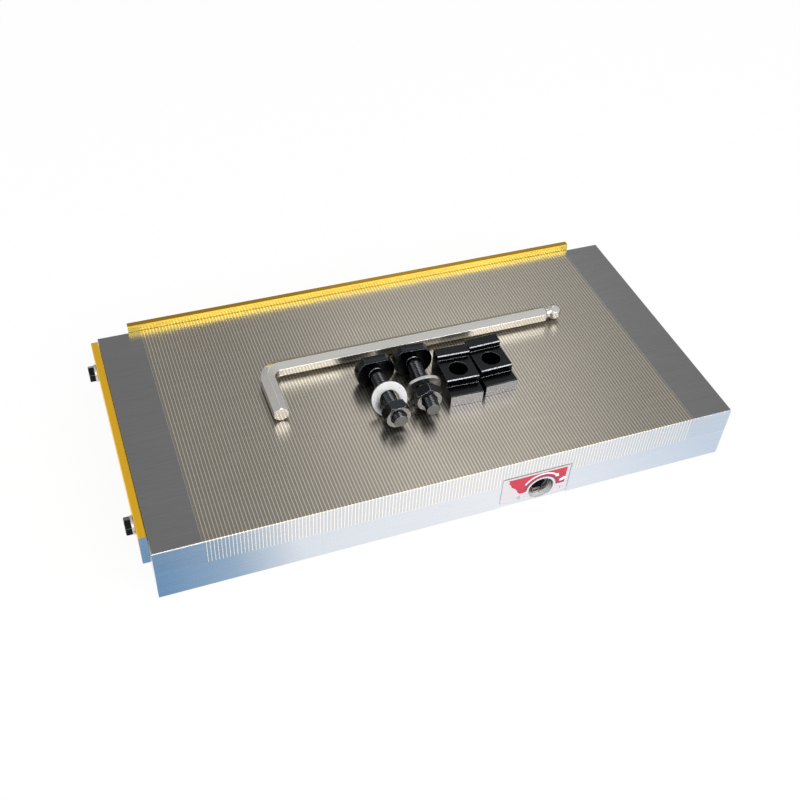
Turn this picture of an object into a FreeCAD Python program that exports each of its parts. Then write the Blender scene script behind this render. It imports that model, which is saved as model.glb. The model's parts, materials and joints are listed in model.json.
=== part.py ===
import FreeCAD, Part
import math
import os

# Permanent magnetic chuck with a fine laminated pole plate, for surface grinding.
# Millimetres. X runs along the chuck, Y from the operator's side to the back, Z up.
# The origin is the centre of the base's resting face.

V = FreeCAD.Vector

# Chuck body
chuck_length = 400.0
chuck_width = 200.0
base_height = 23.0
plate_thickness = 20.0
edge_chamfer = 0.5
plate_edge_break = 0.4

# Pole plate: steel sheets parted by brass sheets, brazed between two solid end blocks
steel_sheet = 1.80
brass_sheet = 0.48
end_block_least = 30.0

# Cavity of the base, where the magnet pack slides
floor_thickness = 4.0
end_wall = 35.0
front_wall = 26.0
rear_wall = 16.0
cavity_corner_radius = 6.0

# Seal ring let into the rim around the cavity
seal_width = 2.0
seal_height = 1.5
seal_rim_offset = 1.5
seal_clearance = 0.1

# Long pockets in both end faces, for the noses of the hold-down clamps
pocket_depth = 10.5
pocket_length = 140.0
pocket_ledge = 9.5
pocket_height = 11.0
pocket_corner_radius = 5.0

# Cap screws that come up from below and pull the pole plate down
body_screw_diameter = 6.0
body_screw_head_diameter = 10.0
body_screw_head_height = 6.0
body_screw_grip = 10.0
body_screw_recess = 1.0
body_screw_socket = 5.0
counterbore_clearance = 0.5
screw_hole_clearance = 0.3
thread_clearance = 0.03
thread_run_out = 1.0
end_screw_inset = 16.0
end_screw_side_inset = 20.0
rim_screw_inset_front = 10.0
rim_screw_inset_rear = 7.0
rim_screw_end_inset = 70.0
# middle screws of the rims, clear of the cam; each moves to the nearest steel sheet
front_middle_screws = (-45.6, 27.4)
rear_middle_screws = (-43.3, 43.3)

# Cam shaft, turned half a turn with a hexagon key
cam_x = 58.5
cam_z = 10.7
cam_bore_radius = 9.0
cam_journal_radius = 7.97
cam_running_clearance = 0.03
bush_press_clearance = 0.01
cam_face_depth = 5.6
cam_shaft_length = 19.4
cam_chamfer = 0.6
socket_across_flats = 10.2
socket_depth = 9.0
eccentric_throw = 3.0
eccentric_radius = 3.5
eccentric_length = 10.5
drive_clearance = 0.12

# Retaining ring in front of the cam shaft
ring_thickness = 1.0
ring_groove_depth = 0.6
ring_radial_width = 2.2
ring_gap_angle = 50.0
ring_lug_radius = 1.3
ring_side_clearance = 0.1

# O-ring on the cam shaft
o_ring_radius = 0.85
o_ring_groove_width = 2.0
o_ring_groove_depth = 1.75
o_ring_setback = 9.8

# Stop pin that holds the cam to half a turn
stop_pin_radius = 1.5
stop_groove_depth = 2.2
stop_setback = 14.2
stop_clearance = 0.1
stop_pin_tip_gap = 0.2

# Sliding magnet pack
pack_end_clearance = 1.0
pack_side_clearance = 0.2
pack_floor_clearance = 0.3
pack_top_clearance = 0.3
yoke_thickness = 4.0
yoke_corner_radius = 4.0
pole_bar_width = 6.0
magnet_width = 6.0
pole_bar_end_margin = 2.0
magnet_rows = 3
magnet_set_down = 0.7
guide_strip_thickness = 1.2
guide_strip_height = 2.9
guide_strip_end_gap = 5.0

# Drive block with the upright slot that the eccentric pin works in
drive_block_width = 30.0
drive_block_depth = 12.6
drive_block_top_gap = 2.0
drive_slot_end_gap = 0.8
drive_block_bar_gap = 0.4
drive_screw_diameter = 4.0
drive_screw_head_diameter = 7.0
drive_screw_head_height = 4.0
drive_screw_spread = 11.0

# Shallow recess in the front face, with the sign plate around the key hole
recess_left = 28.0
recess_right = 79.0
recess_above_base = 6.5
recess_depth = 0.8
sign_margin = 0.7
sign_bottom = 3.2
sign_thickness = 0.5
sign_hole_margin = 0.3
sign_corner_radius = 1.0

# Rear rail and left end stop: flat bars on slotted holes
rail_thickness = 5.0
rail_left_inset = 22.0
rail_right_inset = 26.5
rail_bottom = 5.0
rail_rise = 5.0
rail_screw_z = 17.0
rail_screw_inset = 50.0
stop_front_inset = 12.0
stop_rear_inset = 7.0
stop_rise = 3.0
stop_overlap = 1.5
stop_screw_above_base = 12.5
stop_screw_inset = 20.0
bar_gap = 0.15
bar_travel = 3.5
bar_chamfer = 0.5
bar_screw_diameter = 6.0
bar_screw_across_flats = 10.0
bar_screw_head_height = 4.0
hexagon_chamfer_angle = 30.0
bar_screw_reach = 9.0
bar_washer_radius = 6.2
bar_washer_thickness = 1.6
bar_washer_gap = 0.1
slot_clearance = 0.3

# Hexagon key, lying on the work face on its corners
key_across_flats = 10.0
key_bend_radius = 11.0
key_long_axis_y = 26.3
key_short_axis_x = -97.8
key_short_end_y = -17.4
key_ball_x = 123.5
key_ball_radius = 5.6
key_neck_radius = 3.7
key_neck_length = 4.6
key_end_chamfer = 0.7
kit_gap = 0.1

# Hold-down bolts: round heads with two flats, lying on a flat
bolt_diameter = 10.0
bolt_length = 48.0
bolt_head_diameter = 27.2
bolt_head_flats = 22.0
bolt_head_height = 7.0
bolt_head_chamfer = 0.8
bolt_end_chamfer = 0.6
bolt_gap = 0.2
nut_across_flats = 17.0
nut_height = 8.4
nut_countersink = 0.6
nut_thread_clearance = 0.05
washer_outer_radius = 12.2
washer_hole_radius = 6.5
washer_thickness = 2.0
# Place of the head's underside and turn of the bolt seen from above, roll of the nut and
# thread that stands past it, distance of the washer from the underside, lean of the washer
# (towards the head is positive) and its own turn on the bolt
left_bolt_x = -27.3
left_bolt_y = -3.9
left_bolt_yaw = 0.5
left_nut_roll = 0.0
left_nut_setback = 3.8
left_washer_seat = 25.8
left_washer_lean = 28.0
left_washer_turn = -6.0
right_bolt_x = 1.1
right_bolt_y = -0.5
right_bolt_yaw = -4.4
right_nut_roll = 30.0
right_nut_setback = 8.7
right_washer_seat = 24.9
right_washer_lean = -17.5
right_washer_turn = 0.0

# Stepped hold-down clamps
clamp_width = 23.4
clamp_nose_length = 9.6
clamp_seat_length = 20.5
clamp_heel_length = 8.7
clamp_nose_height = 9.5
clamp_seat_height = 15.4
clamp_heel_height = 19.6
clamp_hole_radius = 6.75
clamp_bevel = 0.6
left_clamp_x = 14.2
left_clamp_y = -39.1
left_clamp_yaw = -2.2
right_clamp_x = 41.2
right_clamp_y = -37.0
right_clamp_yaw = 1.5

# Values that follow from the sizes above
half_length = chuck_length / 2
half_width = chuck_width / 2
chuck_height = base_height + plate_thickness
sheet_pitch = steel_sheet + brass_sheet
sheet_room = half_length - end_block_least - steel_sheet / 2
# a middle sheet, and as many pairs beside it as the end blocks leave room for
steel_count = 1 + 2 * int(sheet_room / sheet_pitch)
zone_half = (steel_count * steel_sheet + (steel_count - 1) * brass_sheet) / 2
cavity_left = -half_length + end_wall
cavity_right = half_length - end_wall
cavity_front = -half_width + front_wall
cavity_rear = half_width - rear_wall
body_screw_top = base_height + body_screw_grip
cam_front = -half_width + cam_face_depth
cam_rear = cam_front + cam_shaft_length
bush_inner_radius = cam_journal_radius + cam_running_clearance
bush_outer_radius = cam_bore_radius - bush_press_clearance
ring_front = cam_front - ring_side_clearance - ring_thickness
o_ring_front = cam_front + o_ring_setback
stop_pin_y = cam_front + stop_setback
pack_travel = 2 * eccentric_throw
pack_left = cavity_left + pack_end_clearance
pack_right = cavity_right - pack_end_clearance - pack_travel
pack_front = cavity_front + guide_strip_thickness + pack_side_clearance
pack_rear = cavity_rear - guide_strip_thickness - pack_side_clearance
yoke_bottom = floor_thickness + pack_floor_clearance
yoke_top = yoke_bottom + yoke_thickness
pole_top = base_height - pack_top_clearance
pole_pitch = pole_bar_width + magnet_width
pole_room = pack_right - pack_left - 2 * pole_bar_end_margin
pole_bar_count = round((pole_room + magnet_width) // pole_pitch)
drive_x = cam_x - eccentric_throw
drive_rear = pack_front + drive_block_depth
drive_top = base_height - drive_block_top_gap
drive_slot_end = cam_rear + eccentric_length + drive_slot_end_gap
# a slide that moves at a steady rate lags the true crank motion by this much at most
lag_angle = math.asin(2 / math.pi)
crank_lag = eccentric_throw * abs(1 - math.cos(lag_angle) - 2 * lag_angle / math.pi)
drive_slot_radius = eccentric_radius + crank_lag + drive_clearance
recess_top = base_height + recess_above_base
rail_left = rail_left_inset - half_length
rail_right = half_length - rail_right_inset
rail_top = chuck_height + rail_rise
rail_screw_columns = (rail_screw_inset - half_length, 0, half_length - rail_screw_inset)
stop_front = stop_front_inset - half_width
stop_rear = half_width - stop_rear_inset
stop_bottom = base_height - stop_overlap
stop_top = chuck_height + stop_rise
stop_screw_z = base_height + stop_screw_above_base
stop_screw_rows = (stop_front + stop_screw_inset, stop_rear - stop_screw_inset)
key_corner_radius = key_across_flats / math.sqrt(3)
key_axis_z = chuck_height + kit_gap + key_corner_radius
bolt_axis_z = chuck_height + bolt_gap + bolt_head_flats / 2


def box(x0, x1, y0, y1, z0, z1):
    return Part.makeBox(x1 - x0, y1 - y0, z1 - z0, V(x0, y0, z0))


def rod_x(y, z, radius, x0, x1):
    return Part.makeCylinder(radius, x1 - x0, V(x0, y, z), V(1, 0, 0))


def rod_y(x, z, radius, y0, y1):
    return Part.makeCylinder(radius, y1 - y0, V(x, y0, z), V(0, 1, 0))


def rod_z(x, y, radius, z0, z1):
    return Part.makeCylinder(radius, z1 - z0, V(x, y, z0), V(0, 0, 1))


def prism(points, direction):
    """A straight prism on a closed outline."""
    outline = Part.makePolygon(points + [points[0]])
    return Part.Face(outline).extrude(direction)


def turned(points, centre, axis):
    """A full turn of a closed outline about an axis."""
    outline = Part.makePolygon(points + [points[0]])
    return Part.Face(outline).revolve(centre, axis, 360)


def edges_along(shape, axis):
    """The straight edges of a shape that run along an axis."""
    found = []
    for edge in shape.Edges:
        along = edge.Vertexes[-1].Point - edge.Vertexes[0].Point
        if along.Length > 0 and abs(abs(along.normalize().dot(axis)) - 1) < 1e-6:
            found.append(edge)
    return found


def rounded_block(x0, x1, y0, y1, radius, z0, z1):
    """A block whose upright edges are rounded, as an end mill leaves them."""
    block = box(x0, x1, y0, y1, z0, z1)
    return block.makeFillet(radius, edges_along(block, V(0, 0, 1)))


def hexagon(across_flats, first_angle, at):
    """Corner points of a hexagon; at() places a flat point in space."""
    radius = across_flats / math.sqrt(3)
    points = []
    for step in range(6):
        angle = math.radians(first_angle + 60 * step)
        points.append(at(radius * math.cos(angle), radius * math.sin(angle)))
    return points


def hexagon_block(across_flats, first_angle, start, end, both_ends):
    """Hexagon along Y with its corners turned off, at one end or at both."""
    corners = hexagon(across_flats, first_angle, lambda u, v: V(u, start, v))
    block = prism(corners, V(0, end - start, 0))
    flat_radius = across_flats / 2
    corner_radius = across_flats / math.sqrt(3)
    drop = (corner_radius - flat_radius) * math.tan(math.radians(hexagon_chamfer_angle))
    profile = [V(0, end, 0), V(flat_radius, end, 0), V(corner_radius, end - drop, 0)]
    if both_ends:
        profile += [V(corner_radius, start + drop, 0), V(flat_radius, start, 0)]
    else:
        profile.append(V(corner_radius, start, 0))
    profile.append(V(0, start, 0))
    return block.common(turned(profile, V(0, 0, 0), V(0, 1, 0)))


def end_screw_places():
    row = half_width - end_screw_side_inset
    places = []
    for side in (-1, 1):
        for y in (-row, 0, row):
            places.append((side * (half_length - end_screw_inset), y))
    return places


def on_a_sheet(x):
    """The middle of the steel sheet nearest to x."""
    return round(x / sheet_pitch) * sheet_pitch


def rim_screw_places():
    outer = half_length - rim_screw_end_inset
    front = rim_screw_inset_front - half_width
    rear = half_width - rim_screw_inset_rear
    places = []
    for x in (-outer, *front_middle_screws, outer):
        places.append((on_a_sheet(x), front))
    for x in (-outer, *rear_middle_screws, outer):
        places.append((on_a_sheet(x), rear))
    return places


def plate_screw_hole(x, y):
    radius = body_screw_diameter / 2 + thread_clearance
    return rod_z(x, y, radius, base_height, body_screw_top + thread_run_out)


def sign_recess():
    return box(recess_left, recess_right, -half_width, -half_width + recess_depth, 0, recess_top)


def seal_ring(width, z0, z1, inner_offset):
    """A rectangular ring that follows the cavity's edge."""
    loops = []
    for offset in (inner_offset, inner_offset + width):
        loops.append(rounded_block(
            cavity_left - offset, cavity_right + offset,
            cavity_front - offset, cavity_rear + offset,
            cavity_corner_radius + offset, z0, z1))
    return loops[1].cut(loops[0])


def end_pocket(side):
    """The clamping pocket of one end, rounded where the cutter turns."""
    inner = half_length - pocket_depth
    outer = half_length + pocket_corner_radius
    x0, x1 = sorted((side * inner, side * outer))
    return rounded_block(
        x0, x1, -pocket_length / 2, pocket_length / 2,
        pocket_corner_radius, pocket_ledge, pocket_ledge + pocket_height)


def make_base_housing():
    base = box(-half_length, half_length, -half_width, half_width, 0, base_height)
    resting_edges = [edge for edge in base.Edges if edge.BoundBox.ZMax < 1e-6]
    base = base.makeChamfer(edge_chamfer, resting_edges)
    base = base.cut(rounded_block(
        cavity_left, cavity_right, cavity_front, cavity_rear,
        cavity_corner_radius, floor_thickness, base_height))
    for side in (-1, 1):
        base = base.cut(end_pocket(side))
    cutters = [sign_recess()]
    cutters.append(rod_y(cam_x, cam_z, cam_bore_radius, -half_width, cavity_front))
    cutters.append(rod_y(
        cam_x, cam_z, cam_bore_radius + ring_groove_depth,
        ring_front - ring_side_clearance, cam_front))
    cutters.append(rod_z(cam_x, stop_pin_y, stop_pin_radius, cam_z, base_height))
    groove_depth = seal_height + seal_clearance
    groove_offset = seal_rim_offset - seal_clearance
    cutters.append(seal_ring(
        seal_width + 2 * seal_clearance, base_height - groove_depth, base_height, groove_offset))
    head_radius = body_screw_head_diameter / 2 + counterbore_clearance
    shank_radius = body_screw_diameter / 2 + screw_hole_clearance
    seat = body_screw_recess + body_screw_head_height
    for x, y in end_screw_places() + rim_screw_places():
        cutters.append(rod_z(x, y, head_radius, 0, seat))
        cutters.append(rod_z(x, y, shank_radius, seat, base_height))
    tapped_radius = bar_screw_diameter / 2 + thread_clearance
    for x in rail_screw_columns:
        cutters.append(rod_y(
            x, rail_screw_z, tapped_radius,
            half_width - bar_screw_reach - thread_run_out, half_width))
    return base.cut(cutters)


def make_end_blocks():
    """The solid ends of the pole plate; the left one is tapped for the end stop."""
    blocks = []
    for side in (-1, 1):
        x0, x1 = sorted((side * zone_half, side * half_length))
        block = box(x0, x1, -half_width, half_width, base_height, chuck_height)
        top = [edge for edge in block.Edges if edge.BoundBox.ZMin > chuck_height - 1e-6]
        inner = [edge for edge in top if abs(abs(edge.CenterOfMass.x) - zone_half) < 1e-6]
        broken = [edge for edge in top if not any(edge.isSame(other) for other in inner)]
        block = block.makeChamfer(plate_edge_break, broken)
        for x, y in end_screw_places():
            if x * side > 0:
                block = block.cut(plate_screw_hole(x, y))
        blocks.append(block)
    tapped_radius = bar_screw_diameter / 2 + thread_clearance
    for y in stop_screw_rows:
        tapped = rod_x(
            y, stop_screw_z, tapped_radius,
            -half_length, -half_length + bar_screw_reach + thread_run_out)
        blocks[0] = blocks[0].cut(tapped)
    return Part.makeCompound(blocks)


def make_sheets(first_left, thickness, count):
    """One kind of sheet of the pole plate, cut away for the sign and the rim screws."""
    edge = half_width - plate_edge_break
    shoulder = chuck_height - plate_edge_break
    outline = [
        V(0, -half_width, base_height), V(0, half_width, base_height), V(0, half_width, shoulder),
        V(0, edge, chuck_height), V(0, -edge, chuck_height), V(0, -half_width, shoulder),
    ]
    tools = [plate_screw_hole(x, y) for x, y in rim_screw_places()]
    tools.append(sign_recess())
    sheets = []
    for number in range(count):
        x0 = first_left + number * sheet_pitch
        sheet = prism([point + V(x0, 0, 0) for point in outline], V(thickness, 0, 0))
        for tool in tools:
            reach = tool.BoundBox
            if reach.XMin < x0 + thickness and reach.XMax > x0:
                sheet = sheet.cut(tool)
        sheets.append(sheet)
    return Part.makeCompound(sheets)


def make_body_screws():
    screws = []
    seat = body_screw_recess + body_screw_head_height
    for x, y in end_screw_places() + rim_screw_places():
        head = rod_z(x, y, body_screw_head_diameter / 2, body_screw_recess, seat)
        shank = rod_z(x, y, body_screw_diameter / 2, seat, body_screw_top)
        socket = prism(
            hexagon(body_screw_socket, 0, lambda u, v: V(x + u, y + v, body_screw_recess)),
            V(0, 0, body_screw_head_height / 2))
        screws.append(head.fuse(shank).removeSplitter().cut(socket))
    return Part.makeCompound(screws)


def make_cavity_seal():
    bottom = base_height - seal_height
    return seal_ring(seal_width, bottom, base_height, seal_rim_offset)


def make_cam_shaft():
    """Journal with a hexagon socket in front and the eccentric pin behind."""
    axis_point = V(cam_x, 0, cam_z)

    def at(radius, y):
        return V(cam_x + radius, y, cam_z)

    groove_radius = cam_journal_radius - o_ring_groove_depth
    profile = [
        at(0, cam_front),
        at(cam_journal_radius - cam_chamfer, cam_front),
        at(cam_journal_radius, cam_front + cam_chamfer),
        at(cam_journal_radius, o_ring_front),
        at(groove_radius, o_ring_front),
        at(groove_radius, o_ring_front + o_ring_groove_width),
        at(cam_journal_radius, o_ring_front + o_ring_groove_width),
        at(cam_journal_radius, cam_rear - cam_chamfer),
        at(cam_journal_radius - cam_chamfer, cam_rear),
        at(0, cam_rear),
    ]
    shaft = turned(profile, axis_point, V(0, 1, 0))
    corners = hexagon(socket_across_flats, 0, lambda u, v: V(cam_x + u, cam_front, cam_z + v))
    shaft = shaft.cut(prism(corners, V(0, socket_depth, 0)))
    shaft = shaft.cut(make_stop_groove())
    pin_end = cam_rear + eccentric_length
    pin = rod_y(drive_x, cam_z, eccentric_radius, cam_rear, pin_end)
    tip = [edge for edge in pin.Edges if edge.BoundBox.YMin > pin_end - 1e-3]
    pin = pin.makeChamfer(cam_chamfer, tip)
    return shaft.fuse(pin).removeSplitter()


def make_stop_groove():
    """Half of a ring groove, longer by the pin's width, that the stop pin runs in."""
    half_groove = stop_pin_radius + stop_clearance
    y0 = stop_pin_y - half_groove
    y1 = stop_pin_y + half_groove
    outer = rod_y(cam_x, cam_z, cam_bore_radius, y0, y1)
    core = rod_y(cam_x, cam_z, cam_journal_radius - stop_groove_depth, y0, y1)
    swept_side = box(
        cam_x - cam_bore_radius, cam_x + half_groove, y0, y1,
        cam_z - cam_bore_radius, cam_z + cam_bore_radius)
    return outer.cut(core).common(swept_side)


def make_cam_bush():
    bush = rod_y(cam_x, cam_z, bush_outer_radius, cam_front, cam_rear)
    bush = bush.cut(rod_y(cam_x, cam_z, bush_inner_radius, cam_front, cam_rear))
    pin_hole = rod_z(cam_x, stop_pin_y, stop_pin_radius, cam_z, base_height)
    return bush.cut(pin_hole)


def make_cam_retaining_ring():
    """Spring ring with two lugs, sprung into the groove of the cam bore."""
    outer_radius = cam_bore_radius + ring_groove_depth - ring_side_clearance
    inner_radius = outer_radius - ring_radial_width
    ring_rear = ring_front + ring_thickness
    ring = rod_y(cam_x, cam_z, outer_radius, ring_front, ring_rear)
    ring = ring.cut(rod_y(cam_x, cam_z, inner_radius, ring_front, ring_rear))
    reach = 2 * outer_radius
    half_gap = math.radians(ring_gap_angle / 2)
    gap = prism([
        V(cam_x, ring_front, cam_z),
        V(cam_x - reach * math.sin(half_gap), ring_front, cam_z - reach * math.cos(half_gap)),
        V(cam_x + reach * math.sin(half_gap), ring_front, cam_z - reach * math.cos(half_gap)),
    ], V(0, ring_thickness, 0))
    ring = ring.cut(gap)
    lug_turn = half_gap + ring_lug_radius / inner_radius
    for side in (-1, 1):
        x = cam_x + side * inner_radius * math.sin(lug_turn)
        z = cam_z - inner_radius * math.cos(lug_turn)
        ring = ring.fuse(rod_y(x, z, ring_lug_radius, ring_front, ring_rear))
        ring = ring.cut(rod_y(x, z, ring_lug_radius / 2, ring_front, ring_rear))
    return ring.removeSplitter()


def make_cam_o_ring():
    centre_radius = bush_inner_radius - cam_running_clearance - o_ring_radius
    middle = o_ring_front + o_ring_groove_width / 2
    return Part.makeTorus(centre_radius, o_ring_radius, V(cam_x, middle, cam_z), V(0, 1, 0))


def make_cam_stop_pin():
    tip = cam_z + cam_journal_radius - stop_groove_depth + stop_pin_tip_gap
    return rod_z(cam_x, stop_pin_y, stop_pin_radius - thread_clearance, tip, base_height - stop_clearance)


def bar_left(number):
    """Left side of one pole bar; the stack is centred on the yoke."""
    stack = pole_bar_count * pole_pitch - magnet_width
    return (pack_left + pack_right - stack) / 2 + number * pole_pitch


def bar_front(x0, width):
    """Front end of a bar, set back where the drive block stands."""
    reach = drive_block_width / 2 + drive_block_bar_gap
    if x0 + width > drive_x - reach and x0 < drive_x + reach:
        return drive_rear + drive_block_bar_gap
    return pack_front


def make_magnet_yoke():
    yoke = rounded_block(
        pack_left, pack_right, pack_front, pack_rear, yoke_corner_radius, yoke_bottom, yoke_top)
    yoke = yoke.cut(box(
        drive_x - drive_slot_radius, drive_x + drive_slot_radius,
        pack_front, drive_slot_end, yoke_bottom, yoke_top))
    for x, y in drive_screw_places():
        yoke = yoke.cut(rod_z(
            x, y, drive_screw_diameter / 2 + thread_clearance, yoke_bottom, yoke_top))
    return yoke


def make_pole_bars():
    bars = []
    for number in range(pole_bar_count):
        x0 = bar_left(number)
        front = bar_front(x0, pole_bar_width)
        bars.append(box(x0, x0 + pole_bar_width, front, pack_rear, yoke_top, pole_top))
    return Part.makeCompound(bars)


def make_magnet_blocks():
    """Magnets between the pole bars, several short blocks to a row."""
    blocks = []
    for number in range(pole_bar_count - 1):
        x0 = bar_left(number) + pole_bar_width
        front = bar_front(x0, magnet_width)
        length = (pack_rear - front) / magnet_rows
        for row in range(magnet_rows):
            y0 = front + row * length
            blocks.append(box(
                x0, x0 + magnet_width, y0, y0 + length, yoke_top, pole_top - magnet_set_down))
    return Part.makeCompound(blocks)


def drive_screw_places():
    middle = (pack_front + drive_rear) / 2
    return [(drive_x - drive_screw_spread, middle), (drive_x + drive_screw_spread, middle)]


def make_drive_block():
    half = drive_block_width / 2
    block = box(drive_x - half, drive_x + half, pack_front, drive_rear, yoke_top, drive_top)
    slot_top = cam_z + eccentric_throw
    slot = box(
        drive_x - drive_slot_radius, drive_x + drive_slot_radius,
        pack_front, drive_slot_end, yoke_top, slot_top)
    slot = slot.fuse(rod_y(drive_x, slot_top, drive_slot_radius, pack_front, drive_slot_end))
    block = block.cut(slot)
    seat = drive_top - drive_screw_head_height
    for x, y in drive_screw_places():
        block = block.cut(rod_z(
            x, y, drive_screw_head_diameter / 2 + screw_hole_clearance, seat, drive_top))
        block = block.cut(rod_z(
            x, y, drive_screw_diameter / 2 + screw_hole_clearance, yoke_top, seat))
    return block


def make_drive_block_screws():
    screws = []
    seat = drive_top - drive_screw_head_height
    for x, y in drive_screw_places():
        head = rod_z(x, y, drive_screw_head_diameter / 2, seat, drive_top)
        shank = rod_z(x, y, drive_screw_diameter / 2, yoke_bottom, seat)
        screws.append(head.fuse(shank).removeSplitter())
    return Part.makeCompound(screws)


def make_guide_strips():
    """Brass strips along the front and rear walls that guide the yoke."""
    x0 = cavity_left + cavity_corner_radius + guide_strip_end_gap
    x1 = cavity_right - cavity_corner_radius - guide_strip_end_gap
    top = floor_thickness + guide_strip_height
    front = box(x0, x1, cavity_front, cavity_front + guide_strip_thickness, floor_thickness, top)
    rear = box(x0, x1, cavity_rear - guide_strip_thickness, cavity_rear, floor_thickness, top)
    return Part.makeCompound([front, rear])


def make_sign_plate():
    y0 = -half_width + recess_depth - sign_thickness
    plate = box(
        recess_left + sign_margin, recess_right - sign_margin, y0, y0 + sign_thickness,
        sign_bottom, recess_top - sign_margin)
    plate = plate.makeFillet(sign_corner_radius, edges_along(plate, V(0, 1, 0)))
    return plate.cut(rod_y(
        cam_x, cam_z, cam_bore_radius + sign_hole_margin, y0, y0 + sign_thickness))


def bar_slot(place, z):
    """Upright slotted hole; place() puts a point of the bar's face in space."""
    radius = bar_screw_diameter / 2 + slot_clearance
    axis = place(0, 0, 1) - place(0, 0, 0)
    lower = Part.makeCylinder(radius, rail_thickness, place(0, z - bar_travel, 0), axis)
    upper = Part.makeCylinder(radius, rail_thickness, place(0, z + bar_travel, 0), axis)
    middle = prism([
        place(-radius, z - bar_travel, 0), place(radius, z - bar_travel, 0),
        place(radius, z + bar_travel, 0), place(-radius, z + bar_travel, 0),
    ], axis * rail_thickness)
    return lower.fuse([upper, middle])


def make_rear_rail():
    y0 = half_width + bar_gap
    rail = box(rail_left, rail_right, y0, y0 + rail_thickness, rail_bottom, rail_top)
    rail = rail.makeChamfer(bar_chamfer, edges_along(rail, V(1, 0, 0)))
    for x in rail_screw_columns:
        rail = rail.cut(bar_slot(lambda u, v, w: V(x + u, y0 + w, v), rail_screw_z))
    return rail


def make_end_stop():
    x0 = -half_length - bar_gap
    stop = box(x0 - rail_thickness, x0, stop_front, stop_rear, stop_bottom, stop_top)
    stop = stop.makeChamfer(bar_chamfer, edges_along(stop, V(0, 1, 0)))
    for y in stop_screw_rows:
        stop = stop.cut(bar_slot(lambda u, v, w: V(x0 - w, y + u, v), stop_screw_z))
    return stop


def bar_screw(face, quarter_turns):
    """Hexagon screw of a bar; face lies on the chuck, the turns swing it round from +Y."""
    seat = bar_gap + rail_thickness + bar_washer_gap + bar_washer_thickness
    shank = rod_y(0, 0, bar_screw_diameter / 2, -bar_screw_reach, seat)
    head = hexagon_block(bar_screw_across_flats, 30, seat, seat + bar_screw_head_height, False)
    screw = head.fuse(shank).removeSplitter()
    screw.rotate(V(0, 0, 0), V(0, 0, 1), 90 * quarter_turns)
    screw.translate(face)
    return screw


def bar_washer(face, outward):
    start = bar_gap + rail_thickness + bar_washer_gap
    place = face + outward * start
    disc = Part.makeCylinder(bar_washer_radius, bar_washer_thickness, place, outward)
    hole_radius = bar_screw_diameter / 2 + slot_clearance
    return disc.cut(Part.makeCylinder(hole_radius, bar_washer_thickness, place, outward))


def rail_screw_faces():
    return [V(x, half_width, rail_screw_z) for x in rail_screw_columns]


def stop_screw_faces():
    return [V(-half_length, y, stop_screw_z) for y in stop_screw_rows]


def make_bar_screws(faces, quarter_turns):
    return Part.makeCompound([bar_screw(face, quarter_turns) for face in faces])


def make_bar_washers(faces, outward):
    return Part.makeCompound([bar_washer(face, outward) for face in faces])


def make_hex_key():
    """Bent hexagon bar with a ball point on its long arm."""
    bend_x = key_short_axis_x + key_bend_radius
    bend_y = key_long_axis_y - key_bend_radius
    section = hexagon(
        key_across_flats, 30, lambda u, v: V(key_short_axis_x + u, key_short_end_y, key_axis_z + v))
    short_arm = prism(section, V(0, bend_y - key_short_end_y, 0))
    bend_section = [point + V(0, bend_y - key_short_end_y, 0) for point in section]
    bend_face = Part.Face(Part.makePolygon(bend_section + [bend_section[0]]))
    bend = bend_face.revolve(V(bend_x, bend_y, key_axis_z), V(0, 0, 1), -90)
    long_section = hexagon(
        key_across_flats, 30, lambda u, v: V(bend_x, key_long_axis_y + u, key_axis_z + v))
    tip = key_ball_x + key_ball_radius
    long_arm = prism(long_section, V(tip - bend_x, 0, 0))
    long_arm = long_arm.common(key_point_form(bend_x))
    key = short_arm.fuse([bend, long_arm]).removeSplitter()
    return key.common(key_end_form())


def key_point_form(start):
    """Turned form of the long arm: full bar, neck and ball."""
    waist = key_ball_x - math.sqrt(key_ball_radius ** 2 - key_neck_radius ** 2)
    neck_start = waist - key_neck_length / 2
    shoulder = neck_start - (key_corner_radius - key_neck_radius)
    full = key_corner_radius * 1.1

    def at(x, radius):
        return V(x, key_long_axis_y, key_axis_z + radius)

    middle = key_ball_x + key_ball_radius * math.cos(math.radians(60))
    middle_radius = key_ball_radius * math.sin(math.radians(60))
    outline = [
        Part.makePolygon([
            at(key_ball_x + key_ball_radius, 0), at(start, 0), at(start, full),
            at(shoulder - (full - key_corner_radius), full), at(neck_start, key_neck_radius),
            at(waist, key_neck_radius)]),
        Part.Arc(
            at(waist, key_neck_radius), at(middle, middle_radius),
            at(key_ball_x + key_ball_radius, 0)).toShape(),
    ]
    face = Part.Face(Part.Wire(outline))
    return face.revolve(V(0, key_long_axis_y, key_axis_z), V(1, 0, 0), 360)


def key_end_form():
    """Keeps everything but the sharp rim of the short arm's end."""
    radius = key_corner_radius
    reach = radius + key_end_chamfer
    cone = Part.makeCone(
        radius - key_end_chamfer, reach * 2, reach * 2 - radius + key_end_chamfer,
        V(key_short_axis_x, key_short_end_y, key_axis_z), V(0, 1, 0))
    rest = box(
        key_short_axis_x - 2 * radius, key_ball_x + 2 * radius,
        key_short_end_y + reach, key_long_axis_y + 2 * radius,
        key_axis_z - 2 * radius, key_axis_z + 2 * radius)
    return rest.fuse(cone)


def lay_down(shape, x, y, yaw):
    """Turns a piece that is built along -Y from the origin and sets it on the work face."""
    shape.rotate(V(0, 0, 0), V(0, 0, 1), yaw)
    shape.translate(V(x, y, bolt_axis_z))
    return shape


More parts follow.
